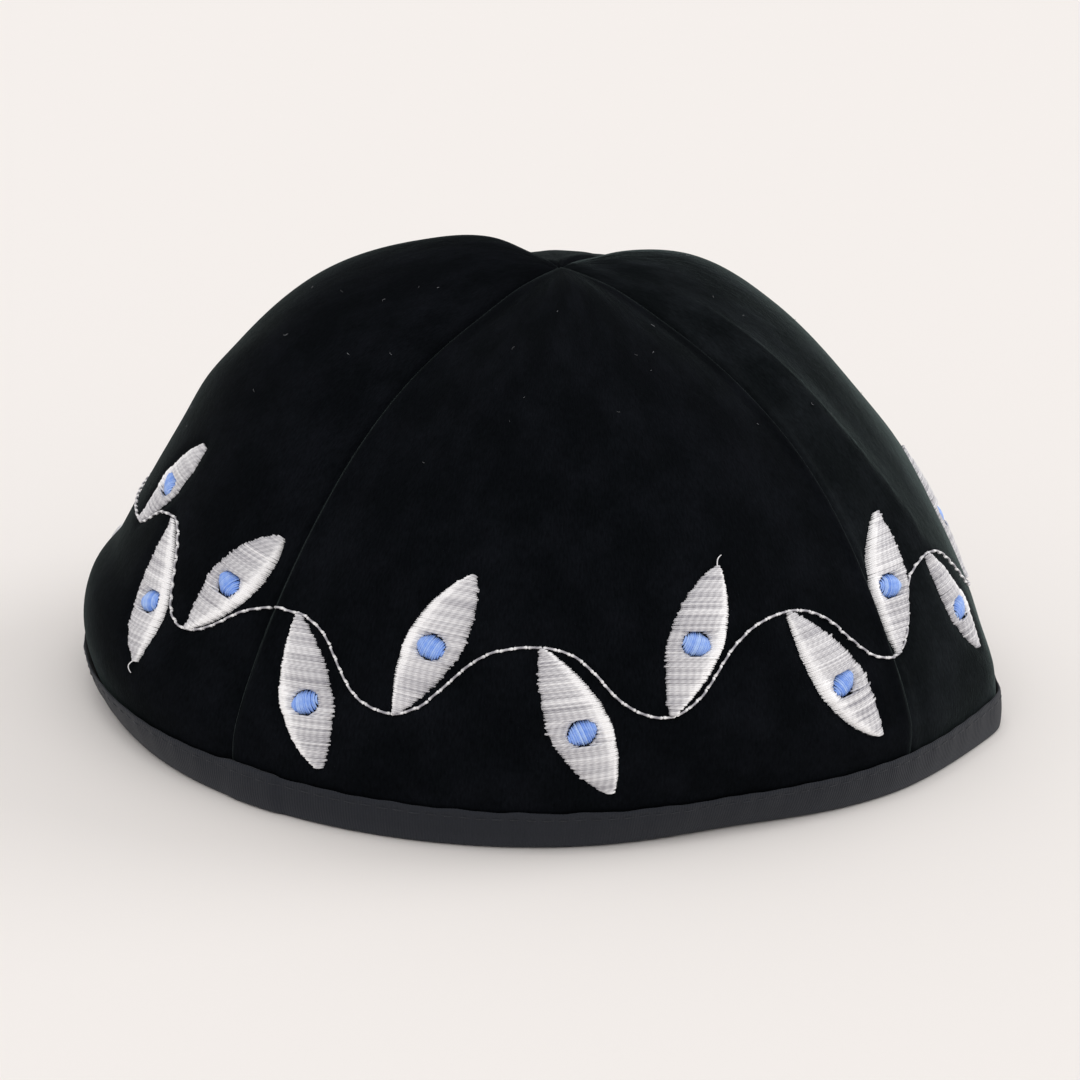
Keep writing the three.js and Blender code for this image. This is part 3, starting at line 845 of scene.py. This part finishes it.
# The line climbs quickly out of each trough and stays flat along each crest.
def vineClimb(azimuths):
    stations = [place["azimuth"] for place in places]
    rises = [place["rise"] for place in places]
    stations = np.array([stations[-1] - 360] + stations + [stations[0] + 360])
    rises = np.array([rises[-1]] + rises + [rises[0]])
    i = np.clip(np.searchsorted(stations, azimuths) - 1, 0, len(stations) - 2)
    t = (azimuths - stations[i]) / (stations[i + 1] - stations[i])
    t = t ** np.where(rises[i + 1] > rises[i], vine["riseSkew"], vine["fallSkew"])
    share = (1 - np.cos(math.pi * t)) / 2
    share = share - vine["steeper"] * np.sin(2 * math.pi * share)
    return rises[i] + (rises[i + 1] - rises[i]) * share


def vinePiece(panel):
    fine = np.linspace(panel["from"], panel["to"], 1600)
    climb = vineClimb(fine)
    level = np.array([
        np.interp(c, climbsAt(a, embroideryLevels), embroideryLevels) for a, c in zip(fine, climb)])
    line = capPoint(panel, fine, level, 0.0)
    run = np.concatenate([[0], np.cumsum(np.linalg.norm(np.diff(line, axis=0), axis=1))])
    room = run[-1] - 2 * vine["seamStop"]
    count = round(room / vine["pitch"])
    starts = vine["seamStop"] + np.arange(count) * room / count + random.uniform(-0.05, 0.05, count)
    t = np.linspace(0, 1, vine["steps"])[None, :]
    at = starts[:, None] + (room / count - vine["gap"]) * t
    azimuth = np.interp(at, run, fine)
    stitchLevel = np.interp(at, run, level) + 0.0004 * random.normal(0, 1, (count, 1))
    lift = -0.2 + (0.2 + vine["lift"]) * np.sin(math.pi * t) ** 0.3
    paths = clothPoint(panel, azimuth, stitchLevel, lift + 0 * azimuth)
    outs = clothOut(panel, azimuth, stitchLevel)
    # Each stitch is fullest near its ends, where the next one pulls it round, and a painted highlight
    # makes it brightest there.
    nearEnd = bump(np.abs(2 * t - 1) - 0.8, 0.22)
    radius = vine["radius"] * mm * (1 + vine["bead"] * nearEnd) + 0 * azimuth
    points, faces, uv = threadTubes(paths, outs, radius)
    # Painted highlight: the tone rises near each stitch's ends.
    tones = random.normal(0.0, 0.1, (count, 1)) + 0.9 * nearEnd
    tones = np.repeat(np.clip(tones, 0, 1).ravel(), tubeSides)
    name = "panel_" + panel["name"]
    makePiece("vine_stitches_" + panel["name"], points, faces, uv, [silverThread],
              [name], None, tones)


for panel in panels:
    vinePiece(panel)
print("wavy line stitched")


# A little lint clings to the velvet.
lint = {
    "perPanel": 11, "length": 0.9, "radius": 0.04, "steps": 5, "seamMargin": 6,
    "lowest": 0.42, "highest": 0.85,
}
lintFibre = threadMaterial("grey cotton lint", "#2c2e31", "#7a7c80", 0.9)


def lintPiece(panel):
    count = lint["perPanel"]
    t = np.linspace(-0.5, 0.5, lint["steps"])[None, :]
    margin = lint["seamMargin"]
    azimuth = random.uniform(panel["from"] + margin, panel["to"] - margin, (count, 1))
    level = random.uniform(lint["lowest"], lint["highest"], (count, 1))
    turn = random.uniform(0, math.pi, (count, 1))
    length = lint["length"] * random.uniform(0.3, 1, (count, 1))
    curl = random.uniform(-1, 1, (count, 1)) * t ** 2
    radius = plainSection(azimuth, level)[0]
    across = length * (t * np.cos(turn) - curl * np.sin(turn))
    climb = length * (t * np.sin(turn) + curl * np.cos(turn))
    azimuth = azimuth + np.degrees(across / radius)
    # The cloth from rim to crown is about crownHeight / 0.65 long.
    level = level + climb / cap["crownHeight"] * 0.65
    paths = clothPoint(panel, azimuth, level, 0.1 + 0 * azimuth)
    outs = clothOut(panel, azimuth, level)
    points, faces, uv = threadTubes(paths, outs, lint["radius"] * mm + 0 * azimuth)
    tones = np.repeat(random.uniform(0, 1, count), lint["steps"] * tubeSides)
    name = "panel_" + panel["name"]
    makePiece("lint_" + panel["name"], points, faces, uv, [lintFibre],
              [name], None, tones)


for panel in panels:
    lintPiece(panel)
print("lint scattered")


# Pale studio table and soft light.
table = bpy.data.meshes.new("table")
reach = 3.0
tableCorners = [(-reach, -reach, 0), (reach, -reach, 0), (reach, reach, 0), (-reach, reach, 0)]
table.from_pydata(tableCorners, [], [(0, 1, 2, 3)])
floor = bpy.data.objects.new("table", table)
bpy.context.scene.collection.objects.link(floor)

studio = {"floor": "#efebe8", "sky": "#fffdfc", "skyStrength": 0.77}
view = {
    "elevation": 20.3, "roll": 2.2, "distance": 0.6416, "targetHeight": 0.03256,
    "lens": 112.4, "shiftX": -0.0031, "shiftY": -0.0185,
}

paper, paperTree = startMaterial("matt studio paper")
grain = addNode(paperTree, "ShaderNodeTexNoise", inputs={"Scale": 900.0, "Detail": 2.0})
paperBump = addNode(paperTree, "ShaderNodeBump", inputs={
    "Height": (grain, "Fac"), "Strength": 0.03, "Distance": 0.1 * mm})
finishMaterial(paperTree, addNode(paperTree, "ShaderNodeBsdfPrincipled", inputs={
    "Base Color": colour(studio["floor"]), "Roughness": 0.95, "Specular IOR Level": 0.1,
    "Normal": (paperBump, "Normal")}))
table.materials.append(paper)

world = bpy.data.worlds.new("studio")
bpy.context.scene.world = world
world.use_nodes = True
sky = world.node_tree.nodes["Background"]
sky.inputs["Color"].default_value = colour(studio["sky"])
sky.inputs["Strength"].default_value = studio["skyStrength"]


# Azimuth and elevation, in degrees, say where the light comes from, and spread how soft it is.
def softSun(name, azimuth, elevation, strength, spread):
    light = bpy.data.lights.new(name, "SUN")
    light.energy = strength
    light.angle = math.radians(spread)
    lamp = bpy.data.objects.new(name, light)
    bpy.context.scene.collection.objects.link(lamp)
    a, e = math.radians(azimuth), math.radians(elevation)
    towards = Vector((math.sin(a) * math.cos(e), -math.cos(a) * math.cos(e), math.sin(e)))
    lamp.rotation_euler = towards.to_track_quat("Z", "Y").to_euler()


softSun("overhead", -20, 68, 0.6, 50)
softSun("right_back", 112, 27, 0.8, 30)

camera = bpy.data.cameras.new("camera")
camera.sensor_width = 36.0
camera.lens = view["lens"]
camera.clip_start = 0.01
camera.shift_x = view["shiftX"]
camera.shift_y = view["shiftY"]
viewpoint = bpy.data.objects.new("camera", camera)
bpy.context.scene.collection.objects.link(viewpoint)
elevation = math.radians(view["elevation"])
roll = math.radians(view["roll"])
back = Vector((0, -math.cos(elevation), math.sin(elevation)))
target = Vector((shift[0] * mm, shift[1] * mm, view["targetHeight"]))
right = Vector((1, 0, 0))
up = back.cross(right)
turnedRight = right * math.cos(roll) + up * math.sin(roll)
turnedUp = up * math.cos(roll) - right * math.sin(roll)
pose = Matrix((turnedRight, turnedUp, back)).transposed().to_4x4()
pose.translation = target + back * view["distance"]
viewpoint.matrix_world = pose
bpy.context.scene.camera = viewpoint
bpy.context.scene.view_settings.view_transform = "Standard"
print("studio ready")
